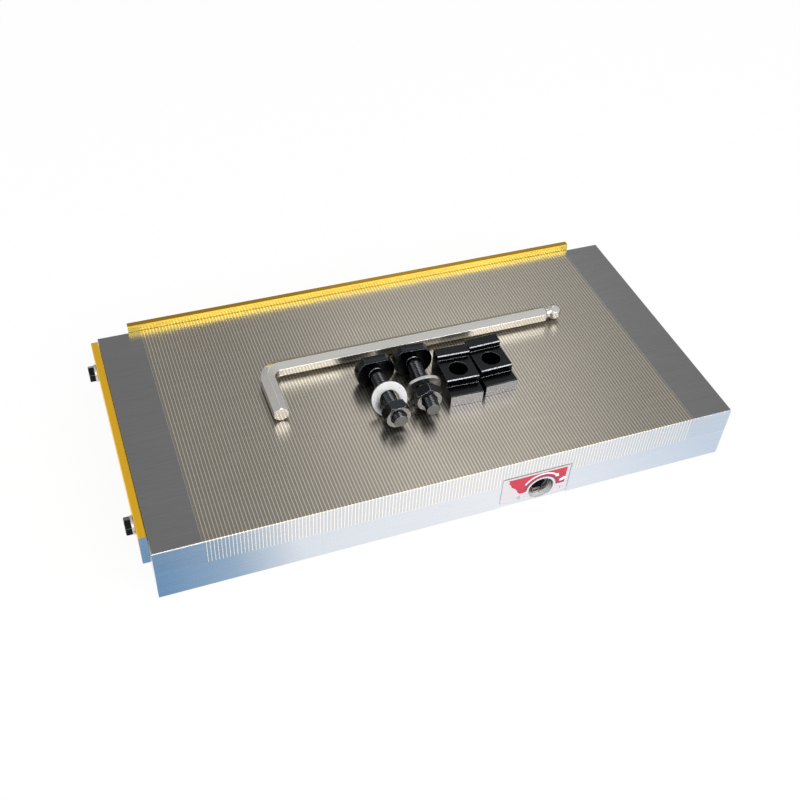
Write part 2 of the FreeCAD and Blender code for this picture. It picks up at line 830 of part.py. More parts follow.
def make_clamp_bolt(x, y, yaw):
    """Bolt with its head's underside at the origin and its shank along -Y."""
    half = bolt_head_diameter / 2
    profile = [
        V(0, bolt_head_height, 0),
        V(half - bolt_head_chamfer, bolt_head_height, 0),
        V(half, bolt_head_height - bolt_head_chamfer / 2, 0),
        V(half, bolt_head_chamfer / 2, 0),
        V(half - bolt_head_chamfer, 0, 0),
        V(bolt_diameter / 2, 0, 0),
        V(bolt_diameter / 2, bolt_end_chamfer - bolt_length, 0),
        V(bolt_diameter / 2 - bolt_end_chamfer, -bolt_length, 0),
        V(0, -bolt_length, 0),
    ]
    bolt = turned(profile, V(0, 0, 0), V(0, 1, 0))
    flats = box(-half, half, -bolt_length, bolt_head_height, -bolt_head_flats / 2, bolt_head_flats / 2)
    return lay_down(bolt.common(flats), x, y, yaw)


def make_clamp_nut(x, y, yaw, roll, setback):
    """Nut on the bolt's thread, its bore countersunk at both ends."""
    front = setback - bolt_length
    rear = front + nut_height
    nut = hexagon_block(nut_across_flats, roll, front, rear, True)
    radius = bolt_diameter / 2 + nut_thread_clearance
    bore = turned([
        V(0, front, 0),
        V(radius + nut_countersink, front, 0),
        V(radius, front + nut_countersink, 0),
        V(radius, rear - nut_countersink, 0),
        V(radius + nut_countersink, rear, 0),
        V(0, rear, 0),
    ], V(0, 0, 0), V(0, 1, 0))
    return lay_down(nut.cut(bore), x, y, yaw)


def make_clamp_washer(x, y, yaw, seat, lean, turn):
    """Washer that stands on its rim, leans along the bolt, and lets it through."""
    disc = rod_y(0, 0, washer_outer_radius, -washer_thickness / 2, washer_thickness / 2)
    disc = disc.cut(rod_y(0, 0, washer_hole_radius, -washer_thickness / 2, washer_thickness / 2))
    disc.rotate(V(0, 0, 0), V(1, 0, 0), -lean)
    disc.rotate(V(0, 0, 0), V(0, 0, 1), turn)
    slope = math.radians(abs(lean))
    sink = washer_thickness / 2 * math.sin(slope)
    lowest = washer_outer_radius * math.cos(slope) + sink
    hole_reach = washer_hole_radius * math.cos(slope) - sink
    stand = lowest - bolt_head_flats / 2 - bolt_gap
    hang = hole_reach - bolt_diameter / 2
    disc.translate(V(0, -seat, (stand + hang) / 2))
    return lay_down(disc, x, y, yaw)


def make_step_clamp(x, y, yaw):
    """Stepped clamp: low nose in front, holed seat in the middle, high heel behind."""
    seat_start = clamp_nose_length
    heel_start = seat_start + clamp_seat_length
    length = heel_start + clamp_heel_length
    bevel = clamp_bevel
    outline = [
        V(0, 0, 0),
        V(0, 0, clamp_nose_height - bevel),
        V(0, bevel, clamp_nose_height),
        V(0, seat_start, clamp_nose_height),
        V(0, seat_start, clamp_seat_height - bevel),
        V(0, seat_start + bevel, clamp_seat_height),
        V(0, heel_start, clamp_seat_height),
        V(0, heel_start, clamp_heel_height - bevel),
        V(0, heel_start + bevel, clamp_heel_height),
        V(0, length - bevel, clamp_heel_height),
        V(0, length, clamp_heel_height - bevel),
        V(0, length, 0),
    ]
    clamp = prism(outline, V(clamp_width, 0, 0))
    hole_y = seat_start + clamp_seat_length / 2
    clamp = clamp.cut(rod_z(clamp_width / 2, hole_y, clamp_hole_radius, 0, clamp_heel_height))
    clamp.rotate(V(0, 0, 0), V(0, 0, 1), yaw)
    clamp.translate(V(x, y, chuck_height + kit_gap))
    return clamp


def left_bolt_set():
    place = (left_bolt_x, left_bolt_y, left_bolt_yaw)
    return {
        "left_clamp_bolt": make_clamp_bolt(*place),
        "left_clamp_nut": make_clamp_nut(*place, left_nut_roll, left_nut_setback),
        "left_clamp_washer": make_clamp_washer(
            *place, left_washer_seat, left_washer_lean, left_washer_turn),
    }


def right_bolt_set():
    place = (right_bolt_x, right_bolt_y, right_bolt_yaw)
    return {
        "right_clamp_bolt": make_clamp_bolt(*place),
        "right_clamp_nut": make_clamp_nut(*place, right_nut_roll, right_nut_setback),
        "right_clamp_washer": make_clamp_washer(
            *place, right_washer_seat, right_washer_lean, right_washer_turn),
    }


def all_parts():
    back = V(0, 1, 0)
    left = V(-1, 0, 0)
    first_brass = -zone_half + steel_sheet
    parts = {
        "base_housing": make_base_housing(),
        "end_blocks": make_end_blocks(),
        "steel_laminations": make_sheets(-zone_half, steel_sheet, steel_count),
        "brass_laminations": make_sheets(first_brass, brass_sheet, steel_count - 1),
        "body_screws": make_body_screws(),
        "cavity_seal": make_cavity_seal(),
        "cam_shaft": make_cam_shaft(),
        "cam_bush": make_cam_bush(),
        "cam_o_ring": make_cam_o_ring(),
        "cam_retaining_ring": make_cam_retaining_ring(),
        "cam_stop_pin": make_cam_stop_pin(),
        "magnet_yoke": make_magnet_yoke(),
        "pole_bars": make_pole_bars(),
        "magnet_blocks": make_magnet_blocks(),
        "drive_block": make_drive_block(),
        "drive_block_screws": make_drive_block_screws(),
        "guide_strips": make_guide_strips(),
        "sign_plate": make_sign_plate(),
        "rear_rail": make_rear_rail(),
        "rear_rail_screws": make_bar_screws(rail_screw_faces(), 0),
        "rear_rail_washers": make_bar_washers(rail_screw_faces(), back),
        "end_stop": make_end_stop(),
        "end_stop_screws": make_bar_screws(stop_screw_faces(), 1),
        "end_stop_washers": make_bar_washers(stop_screw_faces(), left),
        "hex_key": make_hex_key(),
        "left_step_clamp": make_step_clamp(left_clamp_x, left_clamp_y, left_clamp_yaw),
        "right_step_clamp": make_step_clamp(right_clamp_x, right_clamp_y, right_clamp_yaw),
    }
    parts.update(left_bolt_set())
    parts.update(right_bolt_set())
    return parts


os.makedirs("parts", exist_ok=True)
for name, shape in all_parts().items():
    shape.exportStep("parts/" + name + ".step")
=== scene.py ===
# %% [markdown]
# # A magnetic chuck, dressed for its portrait
#
# The imported model is loaded as a fixed frame: every solid is already in place, in
# metres. Nothing of it is moved here. This lesson gives each solid the finish of the
# real thing, and adds what is too fine for the solids: the screw threads of the two
# bolts, the print on the sign, and pale edges that are partly wear and partly painted
# highlights. Some colours also carry painted light and shade: darker tops, a lit and a
# shaded bore, a painted shadow line on the sign and a painted reflection on the floor.

# %% Load the frame
import bpy
import json
import math
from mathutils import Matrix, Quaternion, Vector


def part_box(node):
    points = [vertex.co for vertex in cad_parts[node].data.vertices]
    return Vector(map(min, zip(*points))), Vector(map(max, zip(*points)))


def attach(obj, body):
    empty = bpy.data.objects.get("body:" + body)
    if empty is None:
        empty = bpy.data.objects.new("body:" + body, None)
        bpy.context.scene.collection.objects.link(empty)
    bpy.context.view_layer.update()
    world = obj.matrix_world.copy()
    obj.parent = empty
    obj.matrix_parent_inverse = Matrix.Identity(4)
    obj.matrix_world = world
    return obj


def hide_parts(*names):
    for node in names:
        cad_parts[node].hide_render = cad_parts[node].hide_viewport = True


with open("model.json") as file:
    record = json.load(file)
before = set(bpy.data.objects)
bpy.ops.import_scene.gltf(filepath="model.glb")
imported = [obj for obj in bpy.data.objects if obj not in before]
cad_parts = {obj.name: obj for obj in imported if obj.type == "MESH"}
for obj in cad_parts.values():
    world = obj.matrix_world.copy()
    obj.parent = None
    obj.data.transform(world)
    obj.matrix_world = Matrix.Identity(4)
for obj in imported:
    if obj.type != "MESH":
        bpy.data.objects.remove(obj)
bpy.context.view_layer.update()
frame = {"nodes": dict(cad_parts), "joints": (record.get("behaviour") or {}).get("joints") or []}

MM = 0.001
nodes = frame["nodes"]
print("nodes loaded:", len(nodes))

# %% [markdown]
# ## The camera
#
# The camera stands left of the chuck and looks down at its top. Its place was worked
# out from the corners of the body, so it is written as a direction (azimuth and
# elevation), a roll about the line of sight and a distance from a point on the table.
# `to_track_quat` turns a direction into a rotation, and the roll is added behind it.

# %% Camera
azimuth = math.radians(-23.279)
elevation = math.radians(44.435)
roll = math.radians(4.157)
aim = Vector((1.278, 18.065, 0)) * MM
distance = 774.35 * MM

toward_camera = Vector((
    math.sin(azimuth) * math.cos(elevation),
    -math.cos(azimuth) * math.cos(elevation),
    math.sin(elevation)))
level_view = (-toward_camera).to_track_quat("-Z", "Y")

camera_data = bpy.data.cameras.new("camera")
camera = bpy.data.objects.new("camera", camera_data)
bpy.context.scene.collection.objects.link(camera)
camera_data.sensor_width = 36
camera_data.lens = 47.05
camera_data.clip_start = 0.01
camera_data.clip_end = 20
camera.rotation_mode = "QUATERNION"
camera.rotation_quaternion = level_view @ Quaternion((0, 0, 1), roll)
camera.location = aim + toward_camera * distance
bpy.context.scene.camera = camera
print("camera at", [round(c, 3) for c in camera.location])

# %% [markdown]
# ## Helpers for materials
#
# A colour is written as it looks on screen, in hex, and one function turns it into
# the linear numbers that the shader wants. `add_node` adds a node of any kind, sets it
# up, and gives each input a number, a colour or the output of an earlier node, so that
# a finish reads from top to bottom. What is the same all over a surface is set on the
# shader's own sockets.

# %% Colour, node and finish
def linear(hex_colour):
    """Undoes the sRGB curve of the screen."""
    channels = [int(hex_colour[i:i + 2], 16) / 255 for i in (1, 3, 5)]
    light = [c / 12.92 if c <= 0.04045 else ((c + 0.055) / 1.055) ** 2.4 for c in channels]
    return light + [1.0]


def feed(material, node, inputs):
    """Fills inputs, by name, by number or in their order."""
    pairs = inputs.items() if isinstance(inputs, dict) else enumerate(inputs)
    for socket, given in pairs:
        if isinstance(given, bpy.types.NodeSocket):
            material.node_tree.links.new(given, node.inputs[socket])
        elif isinstance(given, str):
            node.inputs[socket].default_value = linear(given)
        else:
            node.inputs[socket].default_value = given


def add_node(material, kind, inputs=(), output=0, **settings):
    """Adds a node and returns one of its outputs."""
    node = material.node_tree.nodes.new("ShaderNode" + kind)
    for key, value in settings.items():
        setattr(node, key, value)
    feed(material, node, inputs)
    return node.outputs[output]


def shader_of(material):
    return material.node_tree.nodes["Principled BSDF"]


def new_finish(name, colour, metallic, roughness):
    material = bpy.data.materials.new(name)
    material.use_nodes = True
    feed(material, shader_of(material),
         {"Base Color": colour, "Metallic": metallic, "Roughness": roughness})
    return material


def skin_so_far(material):
    """The output that feeds the shader's colour now, to paint something over it."""
    return shader_of(material).inputs["Base Color"].links[0].from_socket


def dress(material, *names):
    for name in names:
        nodes[name].data.materials.clear()
        nodes[name].data.materials.append(material)
    print(material.name, "on", ", ".join(names))


print("mid grey is", [round(c, 3) for c in linear("#808080")])

# %% [markdown]
# ## Patterns that several finishes share
#
# A machined surface is never even. Four small recipes give what the eye looks for:
# `streaks` is a noise pulled out along one axis, as a grinding wheel or a brush
# leaves it; `clouds` is a slow noise for handling marks; `broken_edges` compares the
# surface's own direction with the rounded one of a Bevel node, which differ only
# close to an edge, where a finish wears off first and where the finishes below also
# paint highlights; `facing` is 1 where a surface looks the given way, for pieces that
# are finished differently on one side, and for tops painted darker as shade.
#
# An image of scratches could do the same, but a noise has no seams, no size of its
# own and needs no file.

# %% Streaks, clouds, broken edges and facing
# A Mix node has a pair of sockets for each kind of value. These are for colours.
COLOUR_1, COLOUR_2 = 6, 7
COLOURS = {"data_type": "RGBA", "output": 2}

NOISE_SPREAD = (0.3, 0.7)   # most of a noise lies between these two values
ALIKE_AT_EDGE, ALIKE_ON_FLAT = 0.86, 0.985
FACING_BLUR = 0.02


def streaks(material, millimetres):
    """Noise with one grain size in millimetres along each axis."""
    place = add_node(material, "TexCoord", output="Object")
    scale = tuple(1 / (size * MM) for size in millimetres)
    stretched = add_node(material, "Mapping", {"Vector": place, "Scale": scale})
    return add_node(material, "TexNoise", {
        "Vector": stretched, "Scale": 1.0, "Detail": 3.0, "Roughness": 0.62}, "Fac")


def clouds(material, millimetres):
    """Noise with one grain size all round."""
    place = add_node(material, "TexCoord", output="Object")
    return add_node(material, "TexNoise", {
        "Vector": place, "Scale": 1 / (millimetres * MM), "Detail": 2.0}, "Fac")


def broken_edges(material, radius):
    """The surface's direction as if its edges had a radius in mm, and 1 on such edges."""
    rounded = add_node(material, "Bevel", {"Radius": radius * MM}, samples=6)
    flat = add_node(material, "NewGeometry", output="Normal")
    alike = add_node(material, "VectorMath", (rounded, flat), "Value", operation="DOT_PRODUCT")
    on_edge = add_node(material, "MapRange", (alike, ALIKE_AT_EDGE, ALIKE_ON_FLAT, 1.0, 0.0))
    return rounded, on_edge


def facing(material, direction, limit=0.95):
    """1 where the surface looks the given way; a lower limit takes in its broken edges."""
    normal = add_node(material, "TexCoord", output="Normal")
    along = add_node(material, "VectorMath", (normal, direction), "Value",
                     operation="DOT_PRODUCT")
    return add_node(material, "MapRange",
                    (along, limit - FACING_BLUR, limit + FACING_BLUR, 0.0, 1.0))


print("four patterns ready; noise is read between", *NOISE_SPREAD)

# %% [markdown]
# ## Ground steel
#
# The base and the two solid ends of the pole plate are mild steel, finished on a
# surface grinder. The wheel leaves hair-fine scratches along the chuck, so the gloss
# is broken in that direction. The scratches are really 0.05 mm wide; here they are
# 0.7 mm, as fine as the picture can show. Scratches all along X also blur a mirror
# image across them and leave it sharp along them: that is what Anisotropic does, and
# its Tangent says which way the scratches run. The work face is ground with a coarser
# wheel and has been handled; its colours are painted darker than the bright sides, as
# painted shade. Where an edge width is given, the edges are painted near white, as a
# painted highlight.

# %% Ground steel
UP = (0, 0, 1)
TOP_WITH_ITS_EDGES = 0.6                # the limit for facing
ALONG_X = (1.0, 0.02, 0.02)             # a little off X, so that the end faces have a tangent
SCRATCHES, HANDLING = (26, 0.7, 0.7), 60    # grain sizes in millimetres
GRINDING_DEPTH = 0.01 * MM
EDGE_SHARE = 0.8                        # how much of the painted edge highlight shows
PAINTED_EDGE_HIGHLIGHT = "#fbfcfd"


def ground_steel(name, light, dark, roughness, painted_shade_top_light, painted_shade_top_dark, edge_width=None):
    """Two tones each for sides and top, the top's painted darker as shade; edge_width, in mm,
    paints edge highlights.
    """
    material = new_finish(name, light, 1.0, roughness)
    scratches = streaks(material, SCRATCHES)
    handled = clouds(material, HANDLING)
    sides = add_node(material, "Mix", {0: scratches, COLOUR_1: dark, COLOUR_2: light}, **COLOURS)
    # The work face's tones, darker than the sides, are painted shade.
    top_with_painted_shade = add_node(material, "Mix",
                   {0: scratches, COLOUR_1: painted_shade_top_dark, COLOUR_2: painted_shade_top_light}, **COLOURS)
    painted_top_shade_mask = facing(material, UP, TOP_WITH_ITS_EDGES)
    skin = add_node(material, "Mix", {0: painted_top_shade_mask, COLOUR_1: sides, COLOUR_2: top_with_painted_shade}, **COLOURS)
    # The edges are painted near white: a painted highlight where they catch the light.
    if edge_width is not None:
        on_edge = broken_edges(material, edge_width)[1]
        wear_and_painted_light = add_node(material, "Math", (on_edge, EDGE_SHARE), operation="MULTIPLY")
        skin = add_node(material, "Mix",
                        {0: wear_and_painted_light, COLOUR_1: skin, COLOUR_2: PAINTED_EDGE_HIGHLIGHT}, **COLOURS)
    gloss = add_node(material, "Math", (
        add_node(material, "MapRange",
                 (scratches, *NOISE_SPREAD, roughness - 0.05, roughness + 0.05)),
        add_node(material, "MapRange", (handled, *NOISE_SPREAD, -0.03, 0.03))), operation="ADD")
    feed(material, shader_of(material), {
        "Base Color": skin,
        "Roughness": gloss,
        "Normal": add_node(material, "Bump", {
            "Height": scratches, "Strength": 0.3, "Distance": GRINDING_DEPTH}),
        "Tangent": add_node(material, "CombineXYZ", ALONG_X),
        "Anisotropic": 0.6,
        "Anisotropic Rotation": 0.25})
    return material


# The third and fourth colours belong to the work face, painted darker as shade.
base_steel = ground_steel("ground_steel_of_the_base", "#dfe2e6", "#d1d4d9", 0.28,
                          "#b4b5b7", "#a5a6a9", edge_width=0.45)
end_steel = ground_steel("ground_steel_of_the_ends", "#dddfe2", "#ced0d4", 0.30,
                         "#8a8a8b", "#808081", edge_width=0.45)
dress(base_steel, "base_housing")
dress(end_steel, "end_blocks")

# %% [markdown]
# ## The bore behind the sign
#
# The bore for the key is only milled: it scatters light instead of mirroring it. Its
# lower half is painted bright, as painted light from the window, and its upper half is
# painted dark, as painted shade. It belongs to the same solid as the ground faces, so
# the material itself has to tell where it is. The distance from the bore's axis says
# so, and how far the surface looks up tells the painted lit half from the painted
# shaded one. The distance is taken across the axis only, which is a known fault: the
# same circle, lit and shaded, also falls on the rear face of the base. Most of it lies
# behind the rail, and a sliver shows below. A limit along Y would mend it.

# %% Bore
hole_x, hole_z = 58.5, 10.7
bore_rim = (9.3 * MM, 9.6 * MM)
painted_shade_below, painted_light_above = -0.2, 0.55

place = add_node(base_steel, "TexCoord", output="Object")
from_centre = add_node(base_steel, "VectorMath", (place, (hole_x * MM, 0, hole_z * MM)),
                       operation="SUBTRACT")
from_axis = add_node(base_steel, "VectorMath", (from_centre, (1, 0, 1)), operation="MULTIPLY")
radius = add_node(base_steel, "VectorMath", (from_axis,), "Value", operation="LENGTH")

surface = add_node(base_steel, "TexCoord", output="Normal")
upward = add_node(base_steel, "SeparateXYZ", (surface,), "Z")
wear_and_painted_light = add_node(base_steel, "MapRange", (upward, painted_shade_below, painted_light_above, 0.0, 1.0))
# Painted shade on the upper half of the bore, painted light on the lower half.
bore_painted_light_and_shade = add_node(base_steel, "Mix",
                     {0: wear_and_painted_light, COLOUR_1: "#20282a", COLOUR_2: "#f6f8f8"}, **COLOURS)
in_bore = add_node(base_steel, "MapRange", (radius, *bore_rim, 1.0, 0.0))
feed(base_steel, shader_of(base_steel), {
    "Base Color": add_node(base_steel, "Mix", {
        0: in_bore, COLOUR_1: skin_so_far(base_steel), COLOUR_2: bore_painted_light_and_shade}, **COLOURS),
    "Metallic": add_node(base_steel, "MapRange", (radius, *bore_rim, 0.25, 1.0))})
print("bore at", hole_x, hole_z, "mm")

# %% [markdown]
# ## The laminated pole plate
#
# Steel sheets 1.8 mm thick and brass sheets of half a millimetre take turns and are
# ground flush together. On the work face the steel is a warm grey, and the softer
# brass, dragged by the wheel, shows as fine pale lines; both are painted darker there
# than on the sides, as painted shade. On the bright sides the two metals are nearly
# alike, but there the soft brass was torn a little, so it scatters part of the light.

# %% Pole sheets
# The third and fourth colours of each belong to the work face, painted darker as shade.
pole_steel = ground_steel("ground_steel_sheets", "#d8d7d8", "#cecdce", 0.31,
                          "#969088", "#8b857c")
sheet_brass = ground_steel("ground_brass_sheets", "#faf8f3", "#f3efe6", 0.34,
                           "#d4cfc0", "#c8c2b0")
torn_metallic = 0.6
brass_top = facing(sheet_brass, UP, TOP_WITH_ITS_EDGES)
feed(sheet_brass, shader_of(sheet_brass), {
    "Metallic": add_node(sheet_brass, "MapRange", (brass_top, 0.0, 1.0, torn_metallic, 1.0))})
dress(pole_steel, "steel_laminations")
dress(sheet_brass, "brass_laminations")

# %% [markdown]
# ## Gold-coloured bars
#
# The rail and the end stop are flat drawn bars with a bright golden skin. Drawing
# leaves lines along the bar, so the streaks run that way. The rail's upper edge is
# painted a darker gold than its broad face, as painted shade. The bars were sawn to
# length last, so their end faces are bare steel.

# %% Bars
sawn_steel = "#d5dade"
drawing_depth = 0.01 * MM


def golden_bar(name, light, dark, top_with_painted_shade, grain, along):
    """Gold in two tones and a top colour, on the rail darker as painted shade; grain is in mm,
    along is the bar's axis.
    """
    material = new_finish(name, light, 1.0, 0.27)
    lines = streaks(material, grain)
    painted_top_shade_mask = facing(material, UP, TOP_WITH_ITS_EDGES)
    skin = add_node(material, "Mix", {0: lines, COLOUR_1: dark, COLOUR_2: light}, **COLOURS)
    skin = add_node(material, "Mix", {0: painted_top_shade_mask, COLOUR_1: skin, COLOUR_2: top_with_painted_shade}, **COLOURS)
    for sign in (-1, 1):
        sawn = facing(material, tuple(sign * c for c in along))
        skin = add_node(material, "Mix",
                        {0: sawn, COLOUR_1: skin, COLOUR_2: sawn_steel}, **COLOURS)
    feed(material, shader_of(material), {
        "Base Color": skin,
        "Roughness": add_node(material, "MapRange", (lines, *NOISE_SPREAD, 0.22, 0.32)),
        "Normal": add_node(material, "Bump", {
            "Height": lines, "Strength": 0.3, "Distance": drawing_depth})})
    return material


# The rail's top colour is painted darker as shade.
dress(golden_bar("golden_rail", "#ffe97e", "#ffde66", "#b08a2b", (90, 1.2, 1.2), (1, 0, 0)),
      "rear_rail")
dress(golden_bar("golden_stop", "#ffce40", "#f6bd30", "#ffc837", (1.2, 90, 1.2), (0, 1, 0)),
      "end_stop")

# %% [markdown]
# ## Blackened steel
#
# The bolts, nuts and clamps are black-oxide steel: a thin dark skin with an oily
# sheen, scuffed by handling. Their edges are painted pale, partly as steel worn bare
# and partly as a painted highlight. Real edges are never knife sharp, so the same
# Bevel normal also goes into the shader, and each edge catches the window as a thin
# bright line.

# %% Black oxide
dry_tones = ("#0e0f10", "#2a2c2e")
oily_tones = ("#131517", "#33363a")
turned_face = "#94969b"
scuff_grain = (1.2, 1.2, 1.2)
scuff_depth = 0.02 * MM
PATCHY_EDGE = (0.35, 0.6, 0.35, 1.0)    # from a scuff's value to how pale an edge is painted
PATCHY_FACE = (0.2, 0.5, 0.75, 1.0)     # the same for a turned face


def black_oxide(name, roughness, edge_width, tones=dry_tones, bare_edge_and_highlight="#dfe1e4", turned=None):
    """Blackened steel; where it looks along turned, it was faced after blackening."""
    material = new_finish(name, tones[0], 1.0, roughness)
    scuffs = streaks(material, scuff_grain)
    rounded, on_edge = broken_edges(material, edge_width)
    patchy = add_node(material, "MapRange", (scuffs, *PATCHY_EDGE))
    wear_and_painted_light = add_node(material, "Math", (on_edge, patchy), operation="MULTIPLY")
    skin = add_node(material, "Mix",
                    {0: scuffs, COLOUR_1: tones[0], COLOUR_2: tones[1]}, **COLOURS)
    if turned is not None:
        worn = add_node(material, "MapRange", (scuffs, *PATCHY_FACE))
        bare = add_node(material, "Math", (facing(material, turned), worn), operation="MULTIPLY")
        skin = add_node(material, "Mix",
                        {0: bare, COLOUR_1: skin, COLOUR_2: turned_face}, **COLOURS)
    feed(material, shader_of(material), {
        # The pale edges are partly bare steel and partly a painted highlight.
        "Base Color": add_node(material, "Mix", {
            0: wear_and_painted_light, COLOUR_1: skin, COLOUR_2: bare_edge_and_highlight}, **COLOURS),
        "Roughness": add_node(material, "MapRange",
                              (scuffs, *NOISE_SPREAD, roughness - 0.06, roughness + 0.1)),
        "Normal": add_node(material, "Bump", {
            "Height": scuffs, "Strength": 0.4, "Distance": scuff_depth, "Normal": rounded})})
    return material


kit_black = black_oxide("black_oxide_steel", 0.22, edge_width=0.4, tones=oily_tones)
small_black = black_oxide("black_oxide_small_screws", 0.28, edge_width=0.25)
dress(small_black, "end_stop_screws", "rear_rail_screws", "body_screws", "drive_block_screws")

# %% [markdown]
# ## Clamps
#
# The stepped clamps were sawn off a blackened bar, so their nose faces are pale and
# grained. The bevel of each step is painted pale, partly as steel worn bare and partly
# as a painted highlight. The nose and the steps look the same way, so the place along
# Y tells them apart.

# %% Clamps
nose_end = -34 * MM         # along Y: the nose faces lie in front of it, the steps behind
nose_grain = (0.8, 0.8, 0.8)
PATCHY_BEVEL = (0.35, 0.55, 0.2, 1.0)
FRONT = (0, -1, 0)
FRONT_AND_UP = (0, -0.7071, 0.7071)


def clamp_finish(name):
    material = black_oxide(name, 0.28, edge_width=0.35, bare_edge_and_highlight="#a3a5a8")
    grain = streaks(material, nose_grain)
    place = add_node(material, "TexCoord", output="Object")
    y = add_node(material, "SeparateXYZ", (place,), "Y")
    before = add_node(material, "Math", (y, nose_end), operation="LESS_THAN")
    behind = add_node(material, "Math", (1.0, before), operation="SUBTRACT")

    nose = add_node(material, "Math", (facing(material, FRONT), before), operation="MULTIPLY")
    sawn = add_node(material, "Mix",
                    {0: grain, COLOUR_1: "#8f909a", COLOUR_2: "#bcbdc6"}, **COLOURS)
    skin = add_node(material, "Mix",
                    {0: nose, COLOUR_1: skin_so_far(material), COLOUR_2: sawn}, **COLOURS)

    # Step bevels facing front and up: pale paint, partly bare steel and partly a painted
    # highlight.
    bevel = facing(material, FRONT_AND_UP)
    patchy = add_node(material, "MapRange", (grain, *PATCHY_BEVEL))
    for part in (behind, patchy):
        bevel = add_node(material, "Math", (bevel, part), operation="MULTIPLY")
    skin = add_node(material, "Mix", {0: bevel, COLOUR_1: skin, COLOUR_2: "#8f9195"}, **COLOURS)
    feed(material, shader_of(material), {"Base Color": skin})
    return material


for side in ("left", "right"):
    dress(clamp_finish(side + "_clamp_black_oxide"), side + "_step_clamp")

# %% [markdown]
# ## Plated pieces
#
# The washers are bright zinc and the key is satin nickel. Both are metals with a
# soft sheen; a slow noise keeps the sheen from looking like paint. Their edges are
# painted white, as a painted highlight.

# %% Zinc and nickel
painted_edge_highlight_share = 0.6
plating_depth = 0.01 * MM


def plated(name, light, dark, roughness, grain, edge_width):
    material = new_finish(name, light, 1.0, roughness)
    marks = streaks(material, grain)
    rounded, on_edge = broken_edges(material, edge_width)
    wear_and_painted_light = add_node(material, "Math", (on_edge, painted_edge_highlight_share), operation="MULTIPLY")
    tone = add_node(material, "Mix", {0: marks, COLOUR_1: dark, COLOUR_2: light}, **COLOURS)
    feed(material, shader_of(material), {
        # White on the edges is a painted highlight.
        "Base Color": add_node(material, "Mix", {
            0: wear_and_painted_light, COLOUR_1: tone, COLOUR_2: "#ffffff"}, **COLOURS),
        "Roughness": add_node(material, "MapRange",
                              (marks, *NOISE_SPREAD, roughness - 0.04, roughness + 0.06)),
        "Normal": add_node(material, "Bump", {
            "Height": marks, "Strength": 0.3, "Distance": plating_depth, "Normal": rounded})})
    return material


zinc = plated("bright_zinc_plate", "#dadbdb", "#cccdcd", 0.30, (1.5, 1.5, 1.5),
              edge_width=0.4)
nickel = plated("satin_nickel_plate", "#dcdad6", "#d0cec9", 0.15, (60, 4, 4),
                edge_width=0.5)
dress(zinc, "left_clamp_washer", "right_clamp_washer", "end_stop_washers", "rear_rail_washers")
dress(nickel, "hex_key")

# %% [markdown]
# ## The inside
#
# Nobody sees the cam and the magnets until the base is opened, yet each has its own
# metal: turned and hardened steel, milled iron, bronze, ferrite and rubber.

# %% Inner finishes
inner_depth = 0.02 * MM
TURNING_RINGS = (3, 0.4, 3)


def inner_finish(name, metallic, light, dark, roughness, pattern, strength):
    """A plain finish; pattern adds its noise to the material, for colour and relief."""
    material = new_finish(name, light, metallic, roughness)
    marks = pattern(material)
    feed(material, shader_of(material), {
        "Base Color": add_node(material, "Mix", {
            0: marks, COLOUR_1: dark, COLOUR_2: light}, **COLOURS),
        "Normal": add_node(material, "Bump", {
            "Height": marks, "Strength": strength, "Distance": inner_depth})})
    return material


def turned_metal(name, light, dark, roughness):
    return inner_finish(name, 1.0, light, dark, roughness,
                        lambda material: streaks(material, TURNING_RINGS), 0.3)


def dull(name, light, dark, roughness, grain):
    return inner_finish(name, 0.0, light, dark, roughness,
                        lambda material: clouds(material, grain), 0.4)


dress(turned_metal("turned_cam_steel", "#8b8d90", "#6f7174", 0.35), "cam_shaft", "cam_stop_pin")
dress(turned_metal("milled_iron", "#9b9a98", "#82817f", 0.42), "magnet_yoke", "pole_bars")
dress(turned_metal("bearing_bronze", "#b98a4e", "#9c7038", 0.36), "cam_bush", "drive_block")
dress(turned_metal("guide_brass", "#d8bb74", "#c4a35a", 0.36), "guide_strips")
dress(turned_metal("spring_steel", "#8d8c8a", "#737270", 0.45), "cam_retaining_ring")
dress(dull("nitrile_rubber", "#1c1c1d", "#121213", 0.6, 0.8), "cavity_seal", "cam_o_ring")
dress(dull("sintered_ferrite", "#39393c", "#29292c", 0.7, 1.0), "magnet_blocks")

# %% [markdown]
# ## Bolts with real threads
#
# A thread is a groove that climbs 1.5 mm with each turn. Painted lines would not
# climb, and a stack of rings would not either, so the thread is modelled: a flat grid
# is rolled into a tube, and each point is pulled in or let out by where it stands on
# the climb. The same loop narrows the tip. The head starts as a cylinder, loses its
# two sides to cuts with `bisect`, and a Bevel modifier breaks its edges. The tip was
# faced and chamfered last, so it gets a material slot of its own in bare steel. The
# thread has two: its crests are painted paler, partly as steel worn bare by the nut
# and partly as a painted highlight, and its flanks stay black.

# %% Tools for modelling
def start():
    bpy.ops.object.select_all(action="DESELECT")


def apply_modifier(piece, kind, **settings):
    modifier = piece.modifiers.new(kind.lower(), kind)
    for key, value in settings.items():
        setattr(modifier, key, value)
    bpy.context.view_layer.objects.active = piece
    bpy.ops.object.modifier_apply(modifier=modifier.name)


def settle(piece, name, body, material):
    """Puts the piece's place into its mesh, and hands it to its body and finish."""
    start()
    piece.select_set(True)
    bpy.context.view_layer.objects.active = piece
    bpy.ops.object.transform_apply(location=True, rotation=True, scale=True)
    piece.name = name
    piece.data.materials.clear()
    piece.data.materials.append(material)
    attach(piece, body)


def joined(pieces):
    start()
    for piece in pieces:
        piece.select_set(True)
    bpy.context.view_layer.objects.active = pieces[0]
    bpy.ops.object.join()
    return pieces[0]


print("tools ready")

